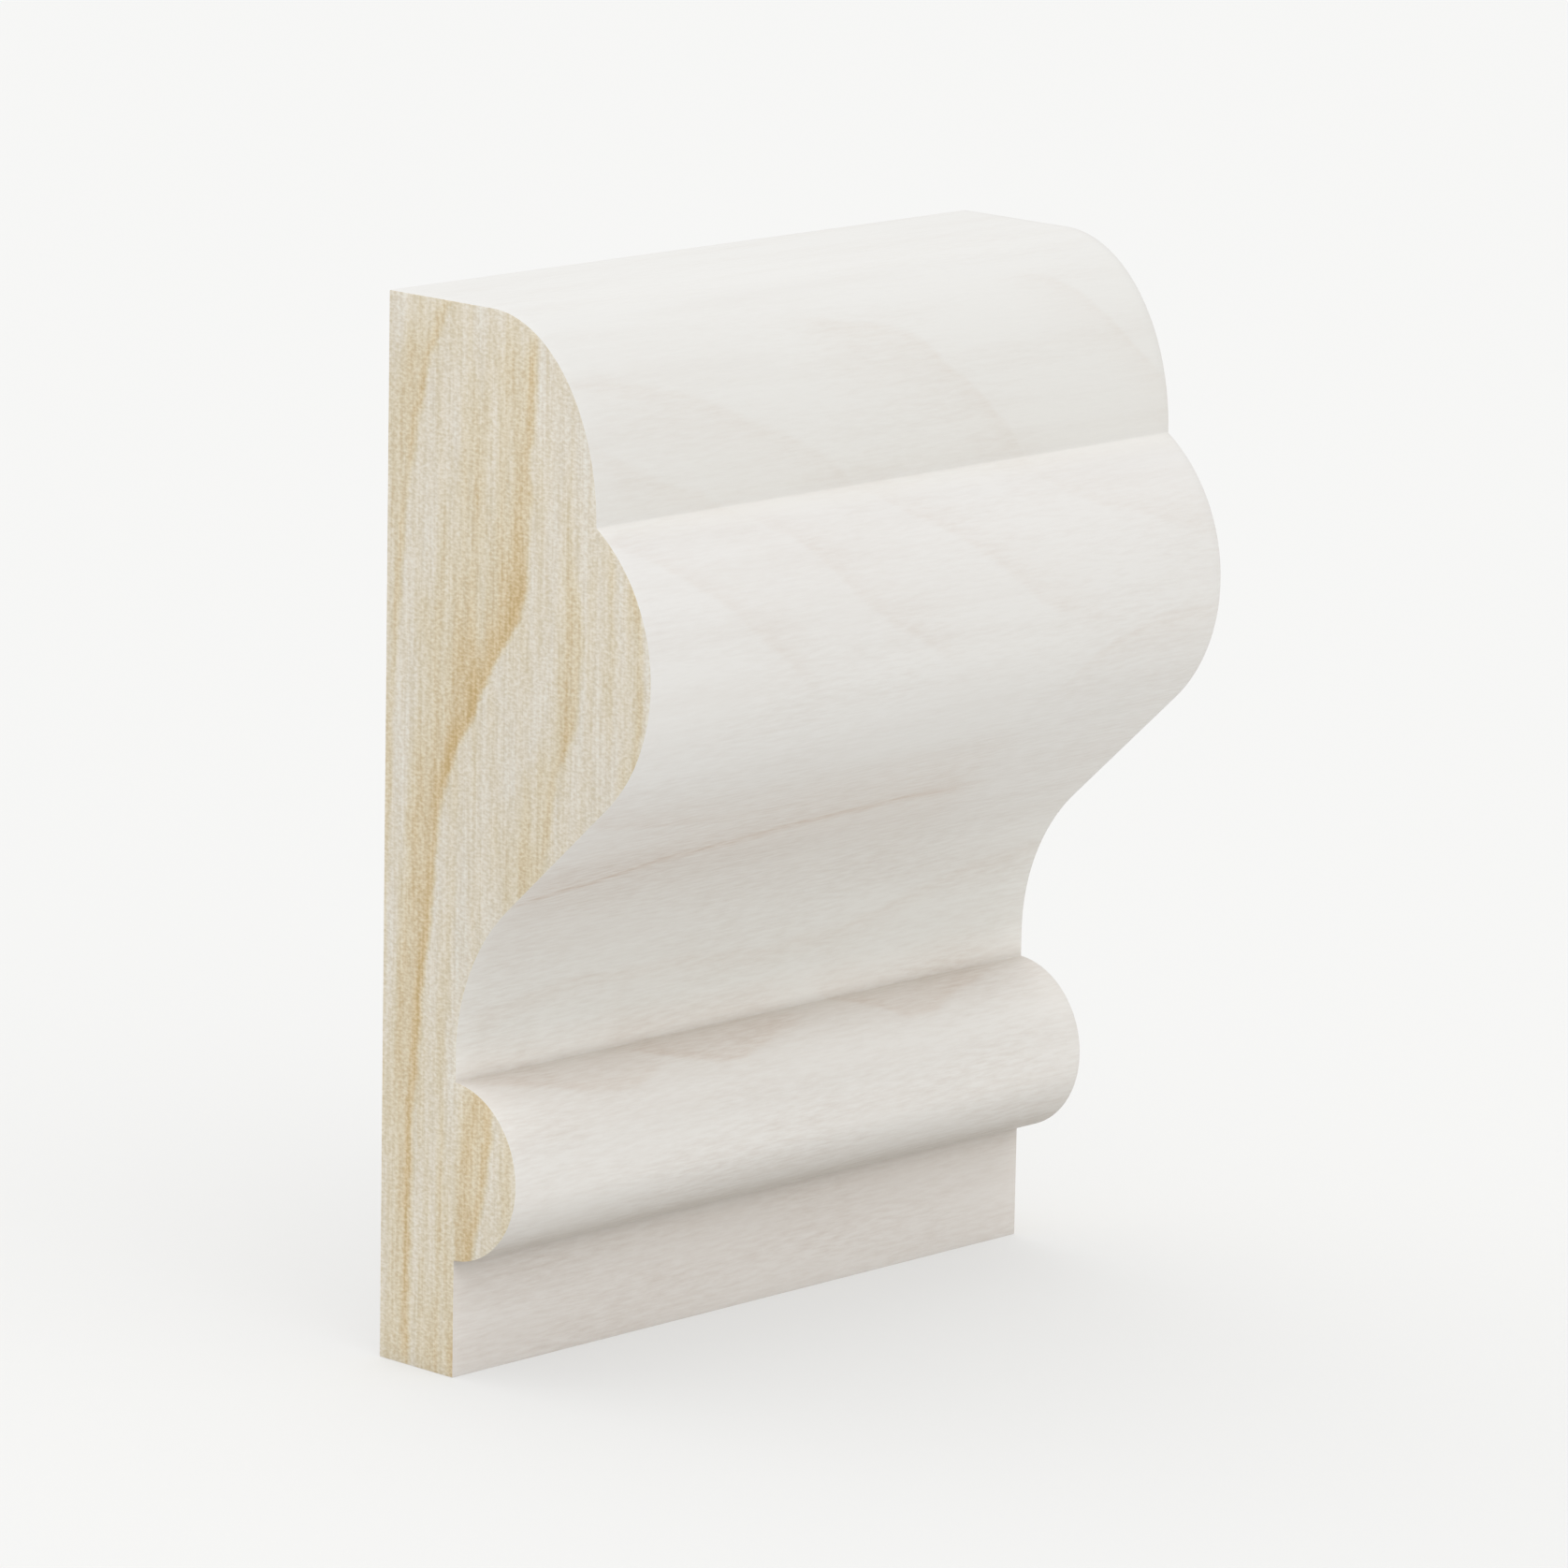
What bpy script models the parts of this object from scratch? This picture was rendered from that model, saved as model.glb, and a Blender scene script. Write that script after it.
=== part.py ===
"""A short, square-cut length of a timber inlay moulding.

The moulding is one solid piece of softwood, machined to a single section that
runs straight through its length. The run lies along X, the flat back faces +Y
and the moulded face looks along -Y. The origin is the middle of the flat back,
where the moulding is fixed to the work. All sizes are in metres.
"""

import math

import bmesh
import bpy

# The cut length, and the thickness from the back to the nose of the belly
LENGTH = 0.0335
THICKNESS = 0.015

# The plain fillet along the bottom edge
FILLET_HEIGHT = 0.0049
FILLET_THICKNESS = 0.0043

# The half-round bead above it, whose centre lies just behind the fillet's face
BEAD_RADIUS = 0.00372
BEAD_SET_BACK = 0.0002

# The cove above the bead, which starts with a short upright run
COVE_UPRIGHT = 0.0011
COVE_RADIUS = 0.0087

# The straight slope that joins the cove to the belly, measured from level
OGEE_SLOPE = math.radians(42.4)

# The belly, which ends at the arris, measured from the nose of the belly
BELLY_RADIUS = 0.0071
ARRIS_ANGLE = math.radians(56.0)

# The top round, a quarter of an ellipse from the arris to the level top
TOP_ROUND_DEPTH = 0.006
TOP_ROUND_RISE = 0.00795

# The widest turn that one facet of a round face makes
FACET_TURN = math.radians(3.0)

# Faces that meet at more than this are shown with a crisp edge
CREASE_ANGLE = math.radians(25.0)

# Colours are linear RGB, roughness runs from 0 to 1
PRIMED_COLOUR = (0.76, 0.73, 0.69, 1.0)
PRIMED_ROUGHNESS = 0.55
BARE_COLOUR = (0.66, 0.55, 0.40, 1.0)
BARE_ROUGHNESS = 0.75


def clear_scene():
    """Removes whatever the open file holds."""
    for old in list(bpy.data.objects):
        bpy.data.objects.remove(old, do_unlink=True)


def elliptic_arc(centre, radii, start, end):
    """Points of (depth, height) on an arc between two angles, both ends included.

    Angle 0 points to the front and a quarter turn points up.
    """
    facets = max(2, math.ceil(abs(end - start) / FACET_TURN))
    points = []
    for step in range(facets + 1):
        angle = start + (end - start) * step / facets
        depth = centre[0] + radii[0] * math.cos(angle)
        height = centre[1] + radii[1] * math.sin(angle)
        points.append((depth, height))
    return points


def round_arc(centre, radius, start, end):
    """Points on a circular arc, as elliptic_arc gives them."""
    return elliptic_arc(centre, (radius, radius), start, end)


def bead_points():
    """The bead, which crosses the plane of the fillet's face at both its ends."""
    half_height = math.sqrt(BEAD_RADIUS ** 2 - BEAD_SET_BACK ** 2)
    centre = (FILLET_THICKNESS - BEAD_SET_BACK, FILLET_HEIGHT + half_height)
    end = math.acos(BEAD_SET_BACK / BEAD_RADIUS)
    return round_arc(centre, BEAD_RADIUS, -end, end)


def cove_points(foot):
    """The cove, which starts upright above the bead and bends out to the slope."""
    centre = (foot[0] + COVE_RADIUS, foot[1] + COVE_UPRIGHT)
    return round_arc(centre, COVE_RADIUS, math.pi, math.pi / 2 + OGEE_SLOPE)


def belly_points(foot):
    """The belly, from where the slope out of the cove runs into it up to the arris."""
    tangent = OGEE_SLOPE - math.pi / 2
    centre_depth = THICKNESS - BELLY_RADIUS
    slope_run = centre_depth + BELLY_RADIUS * math.cos(tangent) - foot[0]
    slope_rise = slope_run * math.tan(OGEE_SLOPE)
    centre_height = foot[1] + slope_rise - BELLY_RADIUS * math.sin(tangent)
    return round_arc((centre_depth, centre_height), BELLY_RADIUS, tangent, ARRIS_ANGLE)


def top_points(arris):
    """The top round from the arris to where the top runs level."""
    centre = (arris[0] - TOP_ROUND_DEPTH, arris[1])
    return elliptic_arc(centre, (TOP_ROUND_DEPTH, TOP_ROUND_RISE), 0.0, math.pi / 2)


def section_outline():
    """The closed section as (depth, height), from the bottom back corner."""
    outline = [(0.0, 0.0), (FILLET_THICKNESS, 0.0)]
    outline += bead_points()
    outline += cove_points(outline[-1])
    outline += belly_points(outline[-1])
    outline += top_points(outline[-1])[1:]
    outline.append((0.0, outline[-1][1]))
    return outline


def moulding_mesh(outline):
    """The section run through the length, with its back's middle at the origin."""
    middle = outline[-1][1] / 2
    shape = bmesh.new()
    corners = [shape.verts.new((-LENGTH / 2, -depth, height - middle)) for depth, height in outline]
    end_face = shape.faces.new(corners)
    run = bmesh.ops.extrude_face_region(shape, geom=[end_face])
    moved = [item for item in run["geom"] if isinstance(item, bmesh.types.BMVert)]
    bmesh.ops.translate(shape, verts=moved, vec=(LENGTH, 0.0, 0.0))
    bmesh.ops.recalc_face_normals(shape, faces=shape.faces)
    mesh = bpy.data.meshes.new("moulding")
    shape.to_mesh(mesh)
    shape.free()
    return mesh


def finish(name, colour, roughness):
    """A plain material with one colour and one roughness."""
    material = bpy.data.materials.new(name)
    material.use_nodes = True
    shader = material.node_tree.nodes["Principled BSDF"]
    shader.inputs["Base Color"].default_value = colour
    shader.inputs["Roughness"].default_value = roughness
    shader.inputs["Metallic"].default_value = 0.0
    return material


def build_moulding():
    """The moulding, primed along its run and bare where it was sawn through."""
    mesh = moulding_mesh(section_outline())
    mesh.materials.append(finish("primed_timber", PRIMED_COLOUR, PRIMED_ROUGHNESS))
    mesh.materials.append(finish("bare_end_grain", BARE_COLOUR, BARE_ROUGHNESS))
    for face in mesh.polygons:
        # 1 on the two ends, which face along the run, and 0 everywhere else
        face.material_index = round(abs(face.normal.x))
    mesh.shade_smooth()
    mesh.set_sharp_from_angle(angle=CREASE_ANGLE)
    moulding = bpy.data.objects.new("moulding", mesh)
    bpy.context.scene.collection.objects.link(moulding)
    return moulding


clear_scene()
build_moulding()
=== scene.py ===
"""The looks of a short cut length of an inlay moulding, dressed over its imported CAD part.

The moulding stands on its bottom edge. The run lies along X, the flat back faces +Y, the
moulded face looks along -Y, and the middle of the back is the origin. Sizes are in metres,
and those of the patterns in its materials are in millimetres.
"""

import math

import bpy
from mathutils import Matrix, Vector


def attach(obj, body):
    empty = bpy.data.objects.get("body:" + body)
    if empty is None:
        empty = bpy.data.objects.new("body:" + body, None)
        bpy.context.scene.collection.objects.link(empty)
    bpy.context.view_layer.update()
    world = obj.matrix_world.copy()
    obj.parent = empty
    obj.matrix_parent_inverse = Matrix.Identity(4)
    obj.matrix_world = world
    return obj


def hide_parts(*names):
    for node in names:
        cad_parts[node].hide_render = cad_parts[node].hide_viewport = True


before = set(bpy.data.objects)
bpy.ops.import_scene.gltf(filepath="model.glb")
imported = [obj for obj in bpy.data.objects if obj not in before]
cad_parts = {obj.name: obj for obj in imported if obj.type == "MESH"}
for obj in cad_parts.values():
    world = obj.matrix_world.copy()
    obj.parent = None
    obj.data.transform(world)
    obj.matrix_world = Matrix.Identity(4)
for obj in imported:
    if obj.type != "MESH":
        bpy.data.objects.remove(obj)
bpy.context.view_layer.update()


# The moulding: one length of pale softwood, machined to its section by a set of shaped knives and
# primed thin and white along the run. It was then sawn square, so both ends are bare wood, and it
# is made to be glued or pinned by its flat back.

RUN_LENGTH = 0.0335
THICKNESS = 0.015
FILLET_HEIGHT = 0.0049
FILLET_THICKNESS = 0.0043
BEAD_RADIUS = 0.00372
BEAD_SET_BACK = 0.0002
COVE_UPRIGHT = 0.0011
COVE_RADIUS = 0.0087
OGEE_SLOPE = math.radians(42.4)
BELLY_RADIUS = 0.0071
ARRIS_ANGLE = math.radians(56.0)
TOP_ROUND_DEPTH = 0.006
TOP_ROUND_RISE = 0.00795

# How finely the round and the flat faces are cut, and how far the sharp edges are rubbed down
FACET_TURN = math.radians(1.5)
FLAT_STEP = 0.0005
RING_STEP = 0.0005
EDGE_EASE = 0.00005
EDGE_FACETS = 2
CREASE_ANGLE = math.radians(25.0)


def arc(centre, radii, start, end):
    """Points of (depth, height) on an elliptic arc; angle 0 points to the front."""
    facets = math.ceil(abs(end - start) / FACET_TURN)
    points = []
    for step in range(facets + 1):
        angle = start + (end - start) * step / facets
        points.append((centre[0] + radii[0] * math.cos(angle), centre[1] + radii[1] * math.sin(angle)))
    return points


def knife_profile():
    """The section as (depth, height), from the top back corner down the front and round to it again."""
    half_bead = math.sqrt(BEAD_RADIUS ** 2 - BEAD_SET_BACK ** 2)
    bead_centre = (FILLET_THICKNESS - BEAD_SET_BACK, FILLET_HEIGHT + half_bead)
    bead_end = math.acos(BEAD_SET_BACK / BEAD_RADIUS)
    bead = arc(bead_centre, (BEAD_RADIUS, BEAD_RADIUS), -bead_end, bead_end)

    foot = bead[-1]
    cove_centre = (foot[0] + COVE_RADIUS, foot[1] + COVE_UPRIGHT)
    cove = arc(cove_centre, (COVE_RADIUS, COVE_RADIUS), math.pi, math.pi / 2 + OGEE_SLOPE)

    leaving = cove[-1]
    tangent = OGEE_SLOPE - math.pi / 2
    belly_depth = THICKNESS - BELLY_RADIUS
    slope_run = belly_depth + BELLY_RADIUS * math.cos(tangent) - leaving[0]
    belly_height = leaving[1] + slope_run * math.tan(OGEE_SLOPE) - BELLY_RADIUS * math.sin(tangent)
    belly = arc((belly_depth, belly_height), (BELLY_RADIUS, BELLY_RADIUS), tangent, ARRIS_ANGLE)

    arris = belly[-1]
    top_centre = (arris[0] - TOP_ROUND_DEPTH, arris[1])
    top = arc(top_centre, (TOP_ROUND_DEPTH, TOP_ROUND_RISE), 0.0, math.pi / 2)

    # The flat faces are cut into short steps, so that the raised grain can bend them too
    upwards = [(0.0, 0.0), (FILLET_THICKNESS, 0.0)] + bead + cove + belly + top[1:]
    corners = [(0.0, top[-1][1])] + upwards[::-1] + [(0.0, top[-1][1])]
    stepped = [corners[0]]
    for start, end in zip(corners, corners[1:]):
        cuts = max(1, math.ceil(math.dist(start, end) / FLAT_STEP))
        for cut in range(1, cuts + 1):
            share = cut / cuts
            stepped.append((start[0] + (end[0] - start[0]) * share, start[1] + (end[1] - start[1]) * share))
    return stepped


profile = knife_profile()
TOTAL_HEIGHT = max(height for depth, height in profile)

# Drawn flat, as the knife is ground: across is depth and down the sheet is down the section
outline_mesh = bpy.data.meshes.new("knife_profile")
outline_mesh.from_pydata(
    [(depth, TOTAL_HEIGHT / 2 - height, 0.0) for depth, height in profile],
    [(corner, corner + 1) for corner in range(len(profile) - 1)],
    [],
)
moulding = bpy.data.objects.new("moulding_timber", outline_mesh)
bpy.context.scene.collection.objects.link(moulding)


def add_node(tree, kind, inputs=(), **settings):
    """Adds one node with its settings, and fills its inputs, by name or in order, with values or links."""
    node = tree.nodes.new(kind)
    for name, value in settings.items():
        setattr(node, name, value)
    filled = inputs.items() if isinstance(inputs, dict) else enumerate(inputs)
    for socket, value in filled:
        if isinstance(value, bpy.types.Node):
            value = value.outputs[0]
        if isinstance(value, bpy.types.NodeSocket):
            tree.links.new(value, node.inputs[socket])
        else:
            node.inputs[socket].default_value = value
    return node


def linear(code):
    """An sRGB hex colour as the linear values that a shader takes."""
    channels = [int(code[digit:digit + 2], 16) / 255 for digit in (1, 3, 5)]
    return [c / 12.92 if c <= 0.04045 else ((c + 0.055) / 1.055) ** 2.4 for c in channels] + [1.0]


def lay_colours(ramp, colours):
    """Lays (place, sRGB hex) colours along a colour ramp, with the last of them at its end."""
    stops = ramp.elements
    stops[0].color = linear(colours[0][1])
    stops[1].color = linear(colours[-1][1])
    for place, colour in colours[1:-1]:
        stops.new(place / colours[-1][0]).color = linear(colour)


def lay_curve(mapping, points):
    """Lays a curve through its points, each given as shares of the curve's two sides."""
    knots = mapping.curves[0].points
    knots[0].location = points[0]
    knots[1].location = points[1]
    for point in points[2:]:
        knots.new(*point)
    mapping.update()


# Planed softwood under one thin coat of white water-based primer, rubbed down by hand. The eye gets
# a chalky, nearly matt white in which growth lines and pores show through as faint warm marks.
PRIMER_IOR = 1.5

# The coat's colour down the section from the top back corner, in millimetres, with light and shade
# painted into it: the steps were tuned until each face had the photographed tone. The level top is
# greyest as painted shade. The nose, the cove's foot and the bead are whitest as painted light. A dip
# in the quirk between the cove and the bead, the bead's underside and the quirk under the bead are
# darker as painted shade, darkest under the bead. The fillet's colour goes on over the bottom and the back.
COAT_AND_PAINTED_SHADE_ROUND = (
    (0.0, "#D4D3D0"),
    (8.0, "#D5D4D1"),
    (16.5, "#DEDCD7"),
    (18.0, "#D8D6D3"),
    (25.0, "#E3E1DD"),
    (36.0, "#DEDBD6"),
    (43.8, "#E1DFD9"),
    (45.2, "#E9E6E0"),
    (45.6, "#D6D1CA"),
    (46.4, "#DDD8D2"),
    (48.0, "#E2DFDA"),
    (50.0, "#DFDCD7"),
    (51.8, "#E5E2DD"),
    (53.6, "#D5D1CB"),
    (54.6, "#C3BDB5"),
    (56.8, "#BDB7AF"),
    (57.1, "#D4CEC7"),
    (57.6, "#DED8D1"),
    (59.5, "#DFDAD4"),
    (61.8, "#D9D4CE"),
)

# What the wood under the coat does to its colour, where it is thin and along a growth line
THIN_TINT = "#EFEAE6"
LINE_TINT = "#DCC4AF"

# The growth lines that show most, in millimetres along the run and down the section from the top back
# corner of the near end. Each fades above it (-1) or below it (+1), over a width, with a weight.
PRIMED_LINES = (
    (1, 3.0, 0.55, ((0.0, 13.7), (3.0, 15.2), (6.5, 16.7), (8.0, 17.5))),
    (1, 3.5, 0.5, ((0.0, 10.9), (4.0, 11.8), (8.0, 13.2), (11.0, 14.7), (14.5, 16.8))),
    (1, 4.0, 0.6, ((14.0, 9.6), (18.5, 11.0), (21.0, 12.6), (23.0, 14.8), (24.6, 17.0))),
    (1, 3.5, 0.5, ((27.5, 9.3), (29.5, 10.1), (31.0, 11.6), (33.5, 15.2))),
    (-1, 3.0, 0.5, ((0.0, 17.4), (2.5, 19.5), (5.5, 22.0), (9.0, 24.8))),
    (-1, 3.0, 0.5, ((7.4, 16.9), (10.0, 19.5), (13.0, 22.3), (17.5, 25.0))),
    (-1, 3.0, 0.5, ((14.8, 16.9), (17.5, 19.2), (21.0, 22.0), (26.0, 24.6))),
    (-1, 3.0, 0.4, ((23.5, 16.9), (26.0, 19.0), (30.0, 20.5), (33.5, 22.2))),
    (1, 2.5, 0.6, ((25.5, 26.8), (27.5, 25.4), (30.0, 24.8), (33.5, 24.9))),
    (-1, 6.0, 1.6, ((0.0, 37.2), (6.5, 35.9), (10.0, 35.4), (16.5, 34.9), (20.0, 34.5), (24.0, 34.7))),
    (1, 6.5, 1.3, ((0.0, 36.2), (6.5, 35.0), (10.0, 34.5), (16.5, 34.1), (20.0, 33.7), (25.0, 34.0))),
    (1, 0.5, 3.0, ((0.0, 36.8), (3.0, 36.3), (6.5, 35.4), (10.0, 34.9), (16.5, 34.4), (20.0, 34.0),
                   (24.0, 34.2))),
    (-1, 3.0, 1.1, ((0.0, 31.0), (4.0, 32.0), (9.0, 32.9), (15.0, 33.2))),
    (1, 1.5, 0.7, ((0.0, 43.6), (3.0, 42.6), (9.0, 42.2), (20.0, 42.6), (26.0, 41.5), (33.5, 40.3))),
    (-1, 3.0, 1.2, ((1.0, 46.1), (3.5, 47.1), (6.5, 47.9), (9.5, 47.6))),
    (-1, 3.8, 1.3, ((8.5, 45.8), (11.0, 47.0), (13.0, 47.9), (15.5, 47.7), (18.5, 46.7))),
    (-1, 3.8, 1.2, ((21.3, 45.5), (23.2, 46.8), (24.8, 47.8), (27.0, 47.4), (30.5, 46.2))),
)

# A line strays by up to about half this reach along and down, in swings of this size. A share of it
# lies close along its crisp side, which comes on between two distances, and its ends die out over a
# share of the run.
LINE_SWING = 4.55
LINE_REACH = (1.6, 1.3, 0.0)
CRISP_WIDTH = 0.8
CRISP_SHARE = 0.3
CRISP_SIDE = (-0.35, 0.2)
LINE_END_FADE = 0.05

# Sizes along the run and down the section of the pores, of the cloudy patches and of the soft banks
# in which the roller left the coat
PORE_SIZE = (1.11, 0.1667)
CLOUD_SIZE = (12.5, 4.55)
BANK_SIZE = (16.67, 1.429)
PORE_ROUGHNESS = 0.6
BANK_CONTRAST = 0.7

# Each as two readings of its pattern and what they give: how far pores open, how much of them the
# patches let through, how far they break the lines, and the gloss, which is highest on raised grain
PORES_OPEN = (0.35, 0.75, 0.0, 0.7)
PATCHES_SHOW = (0.35, 0.65, 0.35, 1.0)
LINES_BROKEN = (0.3, 0.7, 0.1, 0.26)
RUBBED_GLOSS = (0.35, 0.7, 0.5, 0.62)

# Pores show more further down the section, which makes it a little warmer and darker there: two
# places down it in millimetres, and how much shows at each
PORES_SHOW_DOWN = (8.0, 60.0, 0.3, 1.5)

# How deep the pores dip, in metres, and how much of that the light finds
PORE_DEPTH = 0.00002
PORE_SHADING = 0.35

primer = bpy.data.materials.new("white_primed_planed_softwood")
primer.use_nodes = True
paint = primer.node_tree
paint_shader = paint.nodes["Principled BSDF"]
paint_shader.inputs["IOR"].default_value = PRIMER_IOR

# Along the run from the near end, and down the section, both in millimetres
MM = 1000.0
NOISE_MIDDLE = (0.5, 0.5, 0.5)
grain_map = add_node(paint, "ShaderNodeUVMap", uv_map="grain_map")
in_mm = add_node(paint, "ShaderNodeVectorMath", (grain_map, (MM, MM, 0.0)), operation="MULTIPLY")
swings = add_node(paint, "ShaderNodeTexNoise", {"Vector": in_mm, "Scale": 1 / LINE_SWING, "Detail": 3.0})
swing = add_node(paint, "ShaderNodeVectorMath", (swings.outputs["Color"], NOISE_MIDDLE),
                 operation="SUBTRACT")
strayed = add_node(paint, "ShaderNodeVectorMath", (swing, LINE_REACH, in_mm), operation="MULTIPLY_ADD")
line_place = add_node(paint, "ShaderNodeSeparateXYZ", (strayed,))

# Each line is a curve of place down the section against place along the run
RUN_MM = RUN_LENGTH * MM
SECTION_MM = 50.0
along_share = add_node(paint, "ShaderNodeMath", (line_place.outputs["X"], RUN_MM), operation="DIVIDE")
lines_seen = 0.0
for side, fade, weight, line_points in PRIMED_LINES:
    line = add_node(paint, "ShaderNodeFloatCurve", {"Value": along_share})
    lay_curve(line.mapping, [(run_mm / RUN_MM, down_mm / SECTION_MM) for run_mm, down_mm in line_points])
    gap = add_node(paint, "ShaderNodeMath", (line, -SECTION_MM, line_place.outputs["Y"]),
                   operation="MULTIPLY_ADD")
    soft_part = add_node(paint, "ShaderNodeMapRange",
                         (gap, fade * side, 0.0, 0.0, weight * (1 - CRISP_SHARE)))
    crisp_part = add_node(paint, "ShaderNodeMapRange",
                          (gap, CRISP_WIDTH * side, 0.0, 0.0, weight * CRISP_SHARE))
    both_parts = add_node(paint, "ShaderNodeMath", (soft_part, crisp_part), operation="ADD")
    one_side = add_node(paint, "ShaderNodeMapRange", (gap, CRISP_SIDE[0] * side, CRISP_SIDE[1] * side),
                        interpolation_type="SMOOTHSTEP")
    begins = line_points[0][0] / RUN_MM
    ends = line_points[-1][0] / RUN_MM
    begun = add_node(paint, "ShaderNodeMapRange",
                     (along_share, begins - LINE_END_FADE, begins + LINE_END_FADE),
                     interpolation_type="SMOOTHSTEP")
    not_over = add_node(paint, "ShaderNodeMapRange",
                        (along_share, ends + LINE_END_FADE, ends - LINE_END_FADE),
                        interpolation_type="SMOOTHSTEP")
    in_length = add_node(paint, "ShaderNodeMath", (begun, not_over), operation="MULTIPLY")
    in_line = add_node(paint, "ShaderNodeMath", (in_length, one_side), operation="MULTIPLY")
    line_tone = add_node(paint, "ShaderNodeMath", (both_parts, in_line), operation="MULTIPLY")
    lines_seen = add_node(paint, "ShaderNodeMath", (lines_seen, line_tone), operation="MAXIMUM")

pores = add_node(paint, "ShaderNodeMapping",
                 {"Vector": in_mm, "Scale": (1 / PORE_SIZE[0], 1 / PORE_SIZE[1], 1.0)})
pore_noise = add_node(paint, "ShaderNodeTexNoise",
                      {"Vector": pores, "Scale": 1.0, "Detail": 3.0, "Roughness": PORE_ROUGHNESS})
open_pores = add_node(paint, "ShaderNodeMapRange", (pore_noise, *PORES_OPEN))
clouds = add_node(paint, "ShaderNodeMapping",
                  {"Vector": in_mm, "Scale": (1 / CLOUD_SIZE[0], 1 / CLOUD_SIZE[1], 1.0)})
cloud_noise = add_node(paint, "ShaderNodeTexNoise", {"Vector": clouds, "Scale": 1.0, "Detail": 3.0})
patches = add_node(paint, "ShaderNodeMapRange", (cloud_noise, *PATCHES_SHOW))
down_section = add_node(paint, "ShaderNodeSeparateXYZ", (in_mm,))
further_down = add_node(paint, "ShaderNodeMapRange", (down_section.outputs["Y"], *PORES_SHOW_DOWN))
in_patches = add_node(paint, "ShaderNodeMath", (patches, further_down), operation="MULTIPLY")
banks = add_node(paint, "ShaderNodeMapping",
                 {"Vector": in_mm, "Scale": (1 / BANK_SIZE[0], 1 / BANK_SIZE[1], 1.0)})
bank_noise = add_node(paint, "ShaderNodeTexNoise", {"Vector": banks, "Scale": 1.0, "Detail": 2.0})
bank_tone = add_node(paint, "ShaderNodeMath", (bank_noise, BANK_CONTRAST, -BANK_CONTRAST / 2),
                     operation="MULTIPLY_ADD")
thin = add_node(paint, "ShaderNodeMath", (open_pores, in_patches, bank_tone), operation="MULTIPLY_ADD")

down_share = add_node(paint, "ShaderNodeMath", (down_section.outputs["Y"], COAT_AND_PAINTED_SHADE_ROUND[-1][0]),
                      operation="DIVIDE")
# The coat's colour with its painted light and shade, read down the section
coat_and_painted_shade = add_node(paint, "ShaderNodeValToRGB", (down_share,))
lay_colours(coat_and_painted_shade.color_ramp, COAT_AND_PAINTED_SHADE_ROUND)

# A Mix node takes its share at 0 and its colours at 6 and 7, and gives the colour at 2
thin_coat = add_node(paint, "ShaderNodeMix", {0: thin, 6: coat_and_painted_shade, 7: linear(THIN_TINT)},
                     data_type="RGBA", blend_type="MULTIPLY")
broken = add_node(paint, "ShaderNodeMapRange", (pore_noise, *LINES_BROKEN))
line_strength = add_node(paint, "ShaderNodeMath", (lines_seen, broken), operation="MULTIPLY")
lined_coat = add_node(paint, "ShaderNodeMix",
                      {0: line_strength, 6: thin_coat.outputs[2], 7: linear(LINE_TINT)},
                      data_type="RGBA", blend_type="MULTIPLY")
paint.links.new(lined_coat.outputs[2], paint_shader.inputs["Base Color"])

coat_gloss = add_node(paint, "ShaderNodeMapRange", (pore_noise, *RUBBED_GLOSS))
paint.links.new(coat_gloss.outputs[0], paint_shader.inputs["Roughness"])
pore_dips = add_node(paint, "ShaderNodeBump",
                     {"Strength": PORE_SHADING, "Distance": PORE_DEPTH, "Height": pore_noise}, invert=True)
paint.links.new(pore_dips.outputs[0], paint_shader.inputs["Normal"])

# Bare softwood across a fine saw cut. The eye gets dry cream wood with tan growth bands, each crisp
# on its front side and fading behind it, and fine fibre streaks and flecks, with no shine.
SAWN_ROUGHNESS = 0.8
SAWN_SPECULAR = 0.3

# From the palest wood to the darkest part of a growth band
SAWN_COLOURS = ((0.0, "#E9E6DD"), (0.25, "#E6DECF"), (0.5, "#E1D5BB"), (0.75, "#DAC59F"), (1.0, "#CFB380"))

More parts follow.
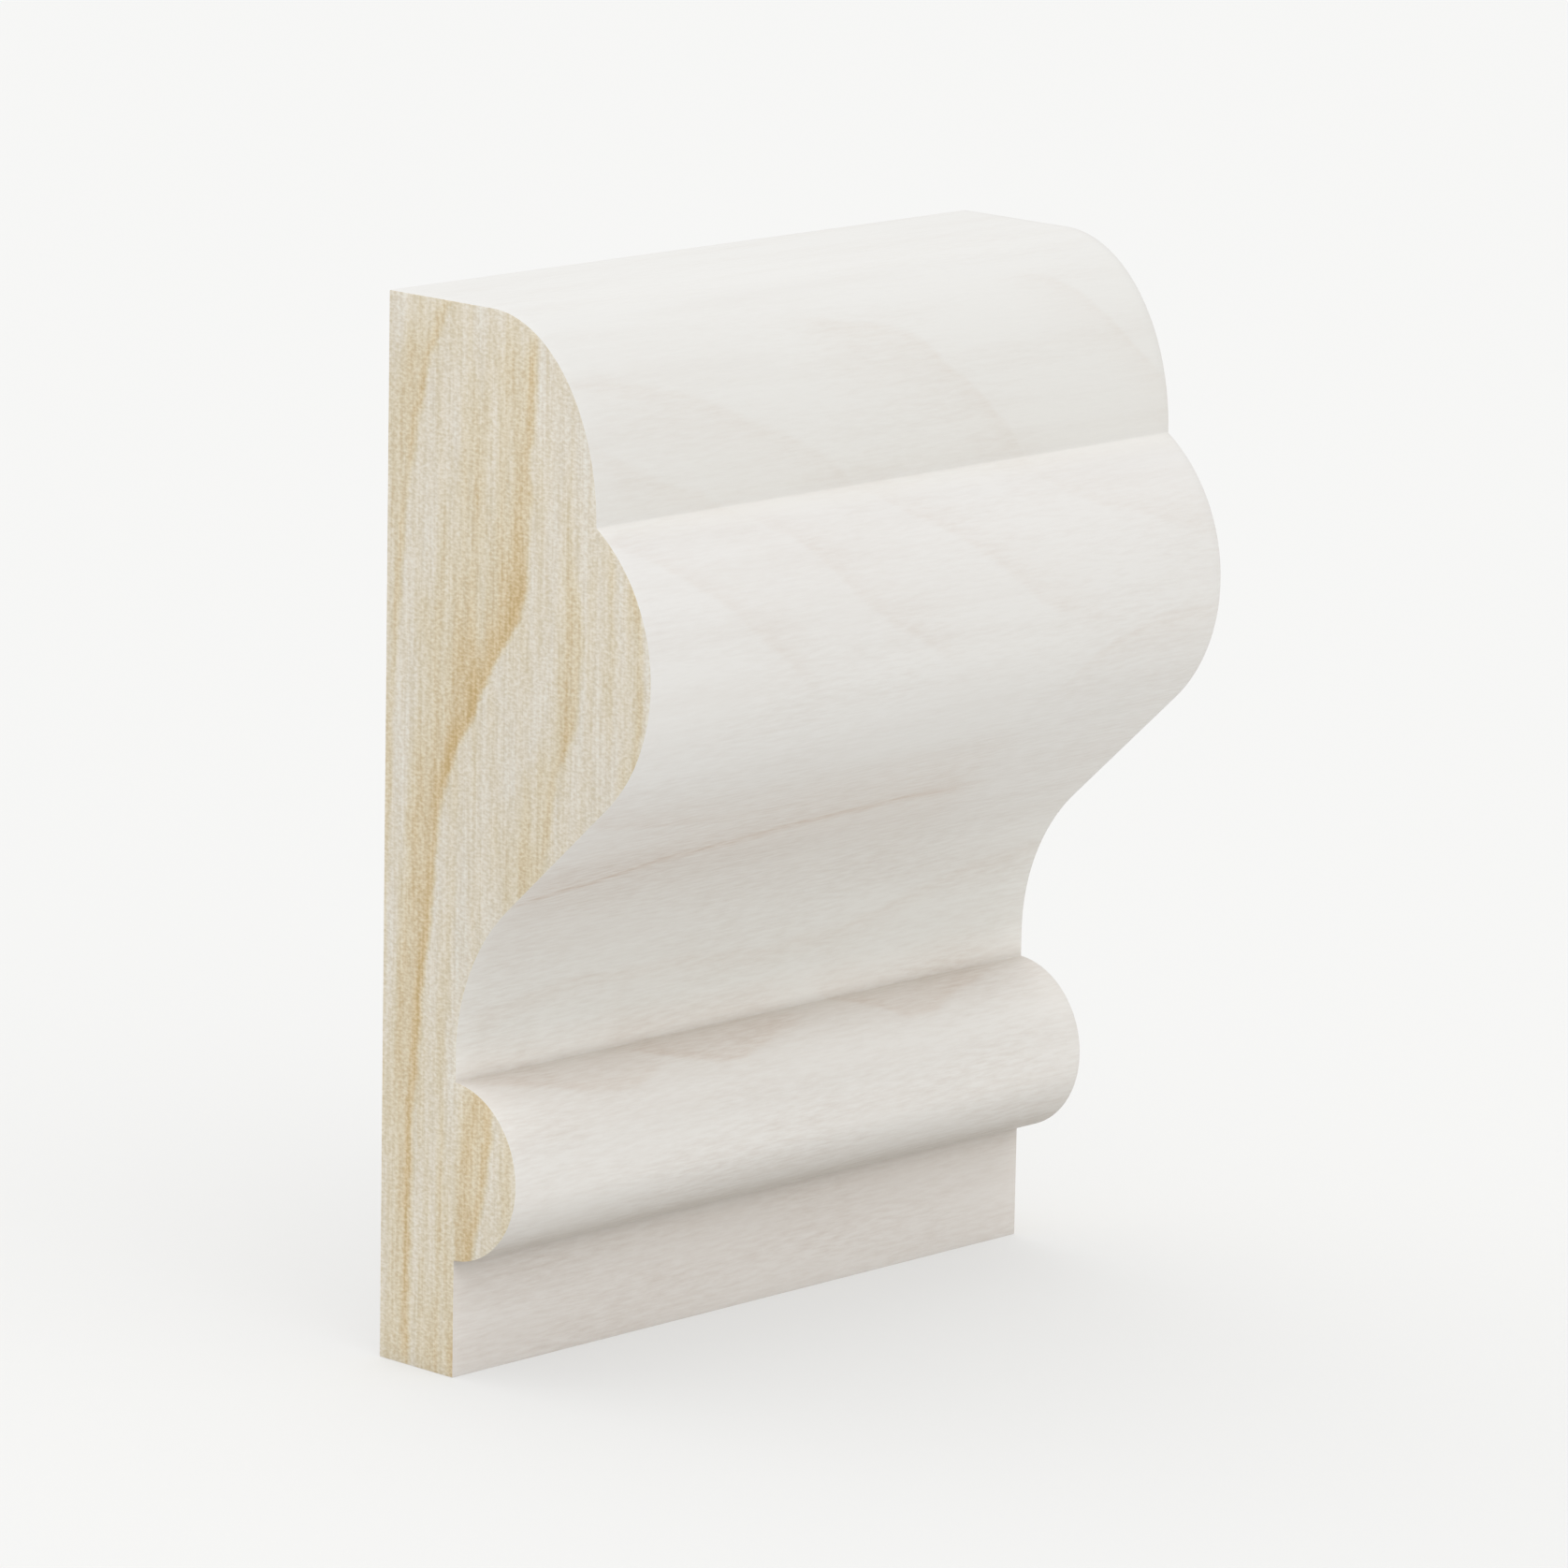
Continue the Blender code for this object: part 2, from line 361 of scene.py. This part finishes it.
# The bands' crisp edges, as (height, depth, how far back it fades, how strong it is); the first
# three are in millimetres
SAWN_BANDS = (
    ((44.0, 3.5, 2.4, 0.72), (42.5, 2.7, 2.2, 0.72), (40.5, 2.1, 2.2, 0.72), (37.9, 1.5, 2.0, 0.72),
     (35.5, 1.1, 1.6, 0.72), (32.9, 0.8, 1.4, 0.65), (24.2, 0.3, 1.2, 0.5), (0.0, 0.0, 1.0, 0.3)),
    ((44.0, 8.8, 3.4, 0.6), (40.9, 8.35, 4.0, 0.68), (35.9, 8.1, 5.2, 0.75), (33.0, 7.95, 6.2, 0.85),
     (31.4, 7.3, 6.4, 0.93), (29.5, 6.1, 5.4, 0.95), (27.5, 5.0, 4.3, 0.94), (25.9, 4.0, 3.2, 1.0),
     (24.2, 3.4, 2.5, 1.08), (19.9, 2.85, 2.1, 1.05), (14.2, 2.1, 1.9, 0.95), (7.5, 1.7, 1.8, 0.85),
     (0.0, 1.65, 2.2, 0.85)),
    ((34.5, 10.7, 1.6, 0.5), (32.0, 11.1, 1.7, 0.55), (29.2, 11.0, 2.0, 0.6), (27.2, 10.4, 1.8, 0.6),
     (25.5, 9.8, 2.2, 0.6), (23.5, 9.4, 3.4, 0.62), (21.0, 9.0, 4.0, 0.65)),
    ((16.0, 7.0, 2.6, 0.8), (11.5, 6.45, 2.2, 1.0), (8.5, 6.05, 2.3, 1.0), (5.5, 5.4, 2.1, 0.98),
     (2.5, 4.85, 1.8, 0.95), (0.0, 4.6, 1.6, 0.95)),
    ((13.0, 8.3, 3.0, 0.35), (9.0, 8.3, 3.0, 0.35), (5.0, 8.1, 3.0, 0.35)),
    ((20.0, 4.2, 1.5, 0.2), (12.0, 3.6, 1.5, 0.3), (5.0, 3.5, 1.4, 0.5), (0.0, 3.45, 1.4, 0.6)),
    ((36.5, 12.6, 0.6, 0.4), (34.0, 12.8, 0.7, 0.5), (31.0, 12.9, 0.7, 0.45), (28.0, 12.8, 0.6, 0.35)),
    ((36.5, 13.6, 0.7, 0.6), (34.0, 14.1, 0.9, 0.7), (31.0, 14.5, 1.1, 0.75), (28.0, 14.4, 1.1, 0.7),
     (26.0, 13.9, 0.8, 0.6)),
)

# A band strays by up to about half this reach in depth and height, in swings of this size. Its crisp
# side comes on between two distances, and its ends die out over shares of the height.
BAND_SWING = 1.667
BAND_REACH = (0.0, 0.6, 1.4)
BAND_SIDE = (-0.35, 0.25)
BAND_TOP_FADE = (0.04, -0.06)
BAND_FOOT_FADE = (-0.06, 0.02)
BAND_STRONGEST = 1.2

# Each as two shares of the way back through the band and what they give: its body, by the share
# squared, and the darker part near the crisp side
BAND_BODY = (1.0, 0.0, 0.0, 0.6)
BAND_DARK = (0.25, 0.0, 0.0, 0.45)

# Widths and heights of the fibre streaks, of the columns of warmer wood and of the flecks. A real
# fleck is one fibre's end of 0.03 mm, drawn about 0.1 by 0.2 mm because that is too fine to show.
STREAK_SIZE = (0.182, 3.85)
COLUMN_SIZE = (0.91, 7.14)
FLECK_SIZE = (0.2, 0.1053)
STREAK_ROUGHNESS = 0.65
STREAK_CONTRAST = 1.15
COLUMN_CONTRAST = 1.1
FLECK_CONTRAST = 1.35

# How much of the streaks and flecks goes into the wood's tone, and where all of it lies on the
# colours
TEXTURE_SHARE = 0.7
TONE_CONTRAST = 0.6
TONE_MIDDLE = 0.29

# The fibres' cut ends are also lighter and darker by themselves, as dust fills some of them
FIBRE_DUST = (-0.3, 0.3, 1.06, 0.92)

# How deep the saw left the fibres' ends, in metres, and how much of that the light finds
SAW_DEPTH = 0.00003
SAW_SHADING = 0.3

sawn = bpy.data.materials.new("sawn_softwood_end_grain")
sawn.use_nodes = True
wood = sawn.node_tree
wood_shader = wood.nodes["Principled BSDF"]
wood_shader.inputs["Roughness"].default_value = SAWN_ROUGHNESS
wood_shader.inputs["Specular IOR Level"].default_value = SAWN_SPECULAR

# Depth from the back across, and height from the bottom up, both in millimetres
HEIGHT_MM = TOTAL_HEIGHT * MM
DEPTH_MM = THICKNESS * MM
solid_place = add_node(wood, "ShaderNodeTexCoord").outputs["Object"]
from_corner = add_node(wood, "ShaderNodeVectorMath",
                       (solid_place, (MM, -MM, MM), (0.0, 0.0, HEIGHT_MM / 2)),
                       operation="MULTIPLY_ADD")
band_swings = add_node(wood, "ShaderNodeTexNoise",
                       {"Vector": from_corner, "Scale": 1 / BAND_SWING, "Detail": 5.0, "Roughness": 0.6})
band_swing = add_node(wood, "ShaderNodeVectorMath", (band_swings.outputs["Color"], NOISE_MIDDLE),
                      operation="SUBTRACT")
band_strayed = add_node(wood, "ShaderNodeVectorMath", (band_swing, BAND_REACH, from_corner),
                        operation="MULTIPLY_ADD")
band_place = add_node(wood, "ShaderNodeSeparateXYZ", (band_strayed,))
up_share = add_node(wood, "ShaderNodeMath", (band_place.outputs["Z"], HEIGHT_MM), operation="DIVIDE")

# Each band is three curves against height: where its crisp edge is, how far back it fades and how
# strong it is
bands_seen = 0.0
for band_points in SAWN_BANDS:
    read = []
    for column, most in ((1, DEPTH_MM), (2, DEPTH_MM), (3, BAND_STRONGEST)):
        curve = add_node(wood, "ShaderNodeFloatCurve", {"Value": up_share})
        lay_curve(curve.mapping, [(point[0] / HEIGHT_MM, point[column] / most) for point in band_points])
        read.append(add_node(wood, "ShaderNodeMath", (curve, most), operation="MULTIPLY"))
    crisp_edge, fade_back, strength = read
    behind = add_node(wood, "ShaderNodeMath", (crisp_edge, band_place.outputs["Y"]), operation="SUBTRACT")
    back_share = add_node(wood, "ShaderNodeMath", (behind, fade_back), operation="DIVIDE")
    squared = add_node(wood, "ShaderNodeMath", (back_share, back_share), operation="MULTIPLY")
    body = add_node(wood, "ShaderNodeMapRange", (squared, *BAND_BODY))
    dark = add_node(wood, "ShaderNodeMapRange", (back_share, *BAND_DARK))
    full_tone = add_node(wood, "ShaderNodeMath", (body, dark), operation="ADD")
    strong_tone = add_node(wood, "ShaderNodeMath", (full_tone, strength), operation="MULTIPLY")
    in_band = add_node(wood, "ShaderNodeMapRange", (behind, *BAND_SIDE), interpolation_type="SMOOTHSTEP")
    highest = band_points[0][0] / HEIGHT_MM
    lowest = band_points[-1][0] / HEIGHT_MM
    below_top = add_node(wood, "ShaderNodeMapRange",
                         (up_share, highest + BAND_TOP_FADE[0], highest + BAND_TOP_FADE[1]),
                         interpolation_type="SMOOTHSTEP")
    above_foot = add_node(wood, "ShaderNodeMapRange",
                          (up_share, lowest + BAND_FOOT_FADE[0], lowest + BAND_FOOT_FADE[1]),
                          interpolation_type="SMOOTHSTEP")
    in_height = add_node(wood, "ShaderNodeMath", (below_top, above_foot), operation="MULTIPLY")
    in_both = add_node(wood, "ShaderNodeMath", (in_height, in_band), operation="MULTIPLY")
    band_tone = add_node(wood, "ShaderNodeMath", (strong_tone, in_both), operation="MULTIPLY")
    bands_seen = add_node(wood, "ShaderNodeMath", (bands_seen, band_tone), operation="MAXIMUM")

streaks = add_node(wood, "ShaderNodeMapping",
                   {"Vector": from_corner, "Scale": (1.0, 1 / STREAK_SIZE[0], 1 / STREAK_SIZE[1])})
streak_noise = add_node(wood, "ShaderNodeTexNoise",
                        {"Vector": streaks, "Scale": 1.0, "Detail": 3.0, "Roughness": STREAK_ROUGHNESS})
columns = add_node(wood, "ShaderNodeMapping",
                   {"Vector": from_corner, "Scale": (1.0, 1 / COLUMN_SIZE[0], 1 / COLUMN_SIZE[1])})
column_noise = add_node(wood, "ShaderNodeTexNoise", {"Vector": columns, "Scale": 1.0, "Detail": 2.0})
flecks = add_node(wood, "ShaderNodeMapping",
                  {"Vector": from_corner, "Scale": (1.0, 1 / FLECK_SIZE[0], 1 / FLECK_SIZE[1])})
fleck_noise = add_node(wood, "ShaderNodeTexNoise", {"Vector": flecks, "Scale": 1.0, "Detail": 1.0})
streak_tone = add_node(wood, "ShaderNodeMath", (streak_noise, STREAK_CONTRAST, -STREAK_CONTRAST / 2),
                       operation="MULTIPLY_ADD")
fleck_tone = add_node(wood, "ShaderNodeMath", (fleck_noise, FLECK_CONTRAST, -FLECK_CONTRAST / 2),
                      operation="MULTIPLY_ADD")
texture = add_node(wood, "ShaderNodeMath", (streak_tone, fleck_tone), operation="ADD")
column_tone = add_node(wood, "ShaderNodeMath", (column_noise, COLUMN_CONTRAST, -COLUMN_CONTRAST / 2),
                       operation="MULTIPLY_ADD")
with_columns = add_node(wood, "ShaderNodeMath", (column_tone, bands_seen), operation="ADD")
textured = add_node(wood, "ShaderNodeMath", (texture, TEXTURE_SHARE, with_columns), operation="MULTIPLY_ADD")
wood_tone = add_node(wood, "ShaderNodeMath", (textured, TONE_CONTRAST, TONE_MIDDLE), operation="MULTIPLY_ADD")
colours = add_node(wood, "ShaderNodeValToRGB", (wood_tone,))
lay_colours(colours.color_ramp, SAWN_COLOURS)
dust = add_node(wood, "ShaderNodeMapRange", (texture, *FIBRE_DUST))
dusty_wood = add_node(wood, "ShaderNodeVectorMath", {0: colours, "Scale": dust}, operation="SCALE")
wood.links.new(dusty_wood.outputs[0], wood_shader.inputs["Base Color"])
rough_cut = add_node(wood, "ShaderNodeBump",
                     {"Strength": SAW_SHADING, "Distance": SAW_DEPTH, "Height": texture})
wood.links.new(rough_cut.outputs[0], wood_shader.inputs["Normal"])

# The water in the primer raises the grain by about a hundredth of a millimetre in low ridges, some
# eight times as long as they are wide, which die out before the ends so that these stay square
GRAIN_RELIEF = 0.00002
GRAIN_WIDTH = 0.0012
GRAIN_SQUEEZE = (0.12, 1.0, 1.0)
RIDGES_FULL_WITHIN = 0.93

# Points closer than this are one, and only sawn faces lie past this share of half the run
WELD_GAP = 0.000002
SAWN_PAST = 0.9999

# The knives follow the run, so the tree sweeps the profile along it and shuts both ends
sweep = bpy.data.node_groups.new("moulding_run", "GeometryNodeTree")
sockets = {}
for name, kind in (
    ("Profile", "NodeSocketGeometry"),
    ("Length", "NodeSocketFloat"),
    ("Ring Step", "NodeSocketFloat"),
    ("Grain Relief", "NodeSocketFloat"),
    ("Grain Width", "NodeSocketFloat"),
    ("Long Faces", "NodeSocketMaterial"),
    ("Sawn Ends", "NodeSocketMaterial"),
):
    sockets[name] = sweep.interface.new_socket(name, in_out="INPUT", socket_type=kind).identifier
sweep.interface.new_socket("Moulding", in_out="OUTPUT", socket_type="NodeSocketGeometry")
given = add_node(sweep, "NodeGroupInput").outputs

half = add_node(sweep, "ShaderNodeMath", (given["Length"], 0.5), operation="MULTIPLY")
minus_half = add_node(sweep, "ShaderNodeMath", (given["Length"], -0.5), operation="MULTIPLY")
near_end = add_node(sweep, "ShaderNodeCombineXYZ", (minus_half,))
far_end = add_node(sweep, "ShaderNodeCombineXYZ", (half,))
run = add_node(sweep, "GeometryNodeCurvePrimitiveLine", {"Start": near_end, "End": far_end})
rings = add_node(sweep, "GeometryNodeResampleCurve", {"Curve": run, "Length": given["Ring Step"]},
                 mode="LENGTH")

knife = add_node(sweep, "GeometryNodeMeshToCurve", {"Mesh": given["Profile"]})
round_section = add_node(sweep, "GeometryNodeSplineParameter").outputs["Length"]
measured = add_node(sweep, "GeometryNodeStoreNamedAttribute",
                    {"Geometry": knife, "Name": "round_section", "Value": round_section},
                    data_type="FLOAT", domain="POINT")
skin = add_node(sweep, "GeometryNodeCurveToMesh", {"Curve": rings, "Profile Curve": measured})

# The map that the grain follows: along the run from the near end, and down the section
swept_place = add_node(sweep, "GeometryNodeInputPosition")
swept_xyz = add_node(sweep, "ShaderNodeSeparateXYZ", (swept_place,))
section_length = add_node(sweep, "GeometryNodeInputNamedAttribute", {"Name": "round_section"},
                          data_type="FLOAT")
from_near_end = add_node(sweep, "ShaderNodeMath", (swept_xyz.outputs["X"], half), operation="ADD")
map_place = add_node(sweep, "ShaderNodeCombineXYZ", (from_near_end, section_length))
mapped = add_node(sweep, "GeometryNodeStoreNamedAttribute",
                  {"Geometry": skin, "Name": "grain_map", "Value": map_place},
                  data_type="FLOAT2", domain="CORNER")

# The raised grain, laid on once the sweep's own seam is closed
seamless = add_node(sweep, "GeometryNodeMergeByDistance", {"Geometry": mapped, "Distance": WELD_GAP})
ridge_scale = add_node(sweep, "ShaderNodeMath", (1.0, given["Grain Width"]), operation="DIVIDE")
here = add_node(sweep, "GeometryNodeInputPosition")
ridge_place = add_node(sweep, "ShaderNodeVectorMath", (here, GRAIN_SQUEEZE), operation="MULTIPLY")
ridges = add_node(sweep, "ShaderNodeTexNoise", {"Vector": ridge_place, "Scale": ridge_scale, "Detail": 2.0})
up_and_down = add_node(sweep, "ShaderNodeMath", (ridges, 0.5), operation="SUBTRACT")
here_xyz = add_node(sweep, "ShaderNodeSeparateXYZ", (here,))
from_middle = add_node(sweep, "ShaderNodeMath", (here_xyz.outputs["X"],), operation="ABSOLUTE")
full_within = add_node(sweep, "ShaderNodeMath", (half, RIDGES_FULL_WITHIN), operation="MULTIPLY")
off_the_ends = add_node(sweep, "ShaderNodeMapRange", (from_middle, half, full_within),
                        interpolation_type="SMOOTHSTEP")
raised = add_node(sweep, "ShaderNodeMath", (up_and_down, given["Grain Relief"]), operation="MULTIPLY")
faded = add_node(sweep, "ShaderNodeMath", (raised, off_the_ends), operation="MULTIPLY")
surface_normal = add_node(sweep, "GeometryNodeInputNormal")
outward = add_node(sweep, "ShaderNodeVectorMath", {0: surface_normal, "Scale": faded}, operation="SCALE")
grained = add_node(sweep, "GeometryNodeSetPosition", {"Geometry": seamless, "Offset": outward})

# One sawn face stands on each end of the run, stood up from the flat profile: across becomes -Y and
# down the sheet becomes -Z
stood_up = Matrix(((0, 0, 1), (-1, 0, 0), (0, -1, 0))).to_euler()
shut = add_node(sweep, "GeometryNodeSetSplineCyclic", {"Geometry": knife, "Cyclic": True})
face = add_node(sweep, "GeometryNodeFillCurve", {"Curve": shut}, mode="NGONS")
sawn_faces = add_node(sweep, "GeometryNodeInstanceOnPoints",
                      {"Points": run, "Instance": face, "Rotation": stood_up})
whole = add_node(sweep, "GeometryNodeJoinGeometry")
sweep.links.new(grained.outputs[0], whole.inputs[0])
sweep.links.new(sawn_faces.outputs[0], whole.inputs[0])
solid_run = add_node(sweep, "GeometryNodeRealizeInstances", {"Geometry": whole})

# Only the sawn faces have their middles out at the very ends of the run; the near one is turned out
last_bit = add_node(sweep, "ShaderNodeMath", (half, SAWN_PAST), operation="MULTIPLY")
is_sawn = add_node(sweep, "ShaderNodeMath", (from_middle, last_bit), operation="GREATER_THAN")
is_near = add_node(sweep, "ShaderNodeMath", (here_xyz.outputs["X"], 0.0), operation="LESS_THAN")
inside_out = add_node(sweep, "ShaderNodeMath", (is_sawn, is_near), operation="MULTIPLY")
turned = add_node(sweep, "GeometryNodeFlipFaces", {"Mesh": solid_run, "Selection": inside_out})
closed = add_node(sweep, "GeometryNodeMergeByDistance", {"Geometry": turned, "Distance": WELD_GAP})
coated = add_node(sweep, "GeometryNodeSetMaterial", {"Geometry": closed, "Material": given["Long Faces"]})
bare_ended = add_node(sweep, "GeometryNodeSetMaterial",
                      {"Geometry": coated, "Selection": is_sawn, "Material": given["Sawn Ends"]})
add_node(sweep, "NodeGroupOutput", (bare_ended,))

run_through = moulding.modifiers.new("run_through", "NODES")
run_through.node_group = sweep
for name, value in (
    ("Length", RUN_LENGTH),
    ("Ring Step", RING_STEP),
    ("Grain Relief", GRAIN_RELIEF),
    ("Grain Width", GRAIN_WIDTH),
    ("Long Faces", primer),
    ("Sawn Ends", sawn),
):
    run_through[sockets[name]] = value

eased = moulding.modifiers.new("rubbed_edges", "BEVEL")
eased.width = EDGE_EASE
eased.segments = EDGE_FACETS
eased.limit_method = "ANGLE"
eased.angle_limit = CREASE_ANGLE

graph = bpy.context.evaluated_depsgraph_get()
finished = bpy.data.meshes.new_from_object(moulding.evaluated_get(graph), depsgraph=graph)
moulding.modifiers.clear()
moulding.data = finished
moulding.data.name = "moulding_timber"
finished.shade_smooth()
finished.set_sharp_from_angle(angle=CREASE_ANGLE)

# The sweep leaves an empty material slot, which goes
while None in finished.materials[:]:
    finished.materials.pop(index=finished.materials[:].index(None))

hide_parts("moulding")
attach(moulding, "root")


# The floor: one plain pale sheet of opal acrylic with a sanded top, lit faintly from beneath as a
# product table is. The moulding only stands on it.

FLOOR_REACH = 3.0
FLOOR_HEIGHT = -TOTAL_HEIGHT / 2

floor_mesh = bpy.data.meshes.new("floor")
floor_mesh.from_pydata(
    [
        (-FLOOR_REACH, -FLOOR_REACH, FLOOR_HEIGHT),
        (FLOOR_REACH, -FLOOR_REACH, FLOOR_HEIGHT),
        (FLOOR_REACH, FLOOR_REACH, FLOOR_HEIGHT),
        (-FLOOR_REACH, FLOOR_REACH, FLOOR_HEIGHT),
    ],
    [],
    [(0, 1, 2, 3)],
)
floor = bpy.data.objects.new("floor", floor_mesh)
bpy.context.scene.collection.objects.link(floor)

# Sanded opal acrylic. The eye gets an even pale ground that mirrors nothing and on which shadows
# stay shallow.
OPAL_COLOUR = "#A5A5A4"
OPAL_GLOW_COLOUR = "#FFFFFE"
OPAL_GLOW = 0.43

opal = bpy.data.materials.new("sanded_opal_acrylic")
opal.use_nodes = True
opal_shader = opal.node_tree.nodes["Principled BSDF"]
opal_shader.inputs["Base Color"].default_value = linear(OPAL_COLOUR)
opal_shader.inputs["Roughness"].default_value = 1.0
opal_shader.inputs["Specular IOR Level"].default_value = 0.0
opal_shader.inputs["Emission Color"].default_value = linear(OPAL_GLOW_COLOUR)
opal_shader.inputs["Emission Strength"].default_value = OPAL_GLOW
floor_mesh.materials.append(opal)


# The light: large white diffusers all round the table. Those above, in front and behind are the
# brightest, and three tighter ones hang over the front, over the near corner and straight above.
# How bright each one is was fitted to the photograph's tones.

# Each diffuser as (degrees round from the front towards the run's far end, degrees up from the
# floor, how tightly it is gathered, how bright it is)
DIFFUSERS = (
    (0.0, 90.0, 2.0, 1.605),
    (0.0, 0.0, 2.0, 1.019),
    (180.0, 0.0, 2.0, 1.494),
    (0.0, 55.0, 10.0, 0.727),
    (-45.0, 45.0, 10.0, 0.53),
    (0.0, 90.0, 10.0, 0.255),
)
DIFFUSER_WHITE = "#FFFFFF"

world = bpy.data.worlds.new("white_studio")
world.use_nodes = True
sky = world.node_tree
direction = add_node(sky, "ShaderNodeTexCoord").outputs["Generated"]
brightness = 0.0
for around, above, gathered, bright in DIFFUSERS:
    turn = math.radians(around)
    rise = math.radians(above)
    towards = (math.sin(turn) * math.cos(rise), -math.cos(turn) * math.cos(rise), math.sin(rise))
    facing = add_node(sky, "ShaderNodeVectorMath", (direction, towards), operation="DOT_PRODUCT")
    in_front = add_node(sky, "ShaderNodeMath", (facing.outputs["Value"], 0.0), operation="MAXIMUM")
    pool = add_node(sky, "ShaderNodeMath", (in_front, gathered), operation="POWER")
    brightness = add_node(sky, "ShaderNodeMath", (pool, bright, brightness), operation="MULTIPLY_ADD")
studio = sky.nodes["Background"]
studio.inputs["Color"].default_value = linear(DIFFUSER_WHITE)
sky.links.new(brightness.outputs[0], studio.inputs["Strength"])
bpy.context.scene.world = world
bpy.context.scene.view_settings.view_transform = "Standard"


# The camera: a long lens, turned and tilted as the photograph was, with the frame's middle left
# where it is.

CAMERA_PLACE = Vector((-0.262255, -0.259120, 0.079415))
CAMERA_TURN = math.radians(46.033)
CAMERA_TILT = math.radians(12.218)
CAMERA_ROLL = math.radians(1.089)

# The lens is as long as this many of the frame's pixels
LENS_PIXELS = 9698.4
FRAME_PIXELS = 1676
SENSOR_WIDTH = 36.0
NEAREST_SEEN = 0.01
FARTHEST_SEEN = 20.0

camera_data = bpy.data.cameras.new("camera")
camera_data.sensor_width = SENSOR_WIDTH
camera_data.lens = SENSOR_WIDTH * LENS_PIXELS / FRAME_PIXELS
camera_data.clip_start = NEAREST_SEEN
camera_data.clip_end = FARTHEST_SEEN
camera = bpy.data.objects.new("camera", camera_data)
bpy.context.scene.collection.objects.link(camera)
bpy.context.scene.camera = camera
looking = Vector((
    math.sin(CAMERA_TURN) * math.cos(CAMERA_TILT),
    math.cos(CAMERA_TURN) * math.cos(CAMERA_TILT),
    -math.sin(CAMERA_TILT),
))
level_right = Vector((math.cos(CAMERA_TURN), -math.sin(CAMERA_TURN), 0.0))
level_up = level_right.cross(looking)
right = level_right * math.cos(CAMERA_ROLL) + level_up * math.sin(CAMERA_ROLL)
up = right.cross(looking)
camera.matrix_world = Matrix((
    (right.x, up.x, -looking.x, CAMERA_PLACE.x),
    (right.y, up.y, -looking.y, CAMERA_PLACE.y),
    (right.z, up.z, -looking.z, CAMERA_PLACE.z),
    (0.0, 0.0, 0.0, 1.0),
))
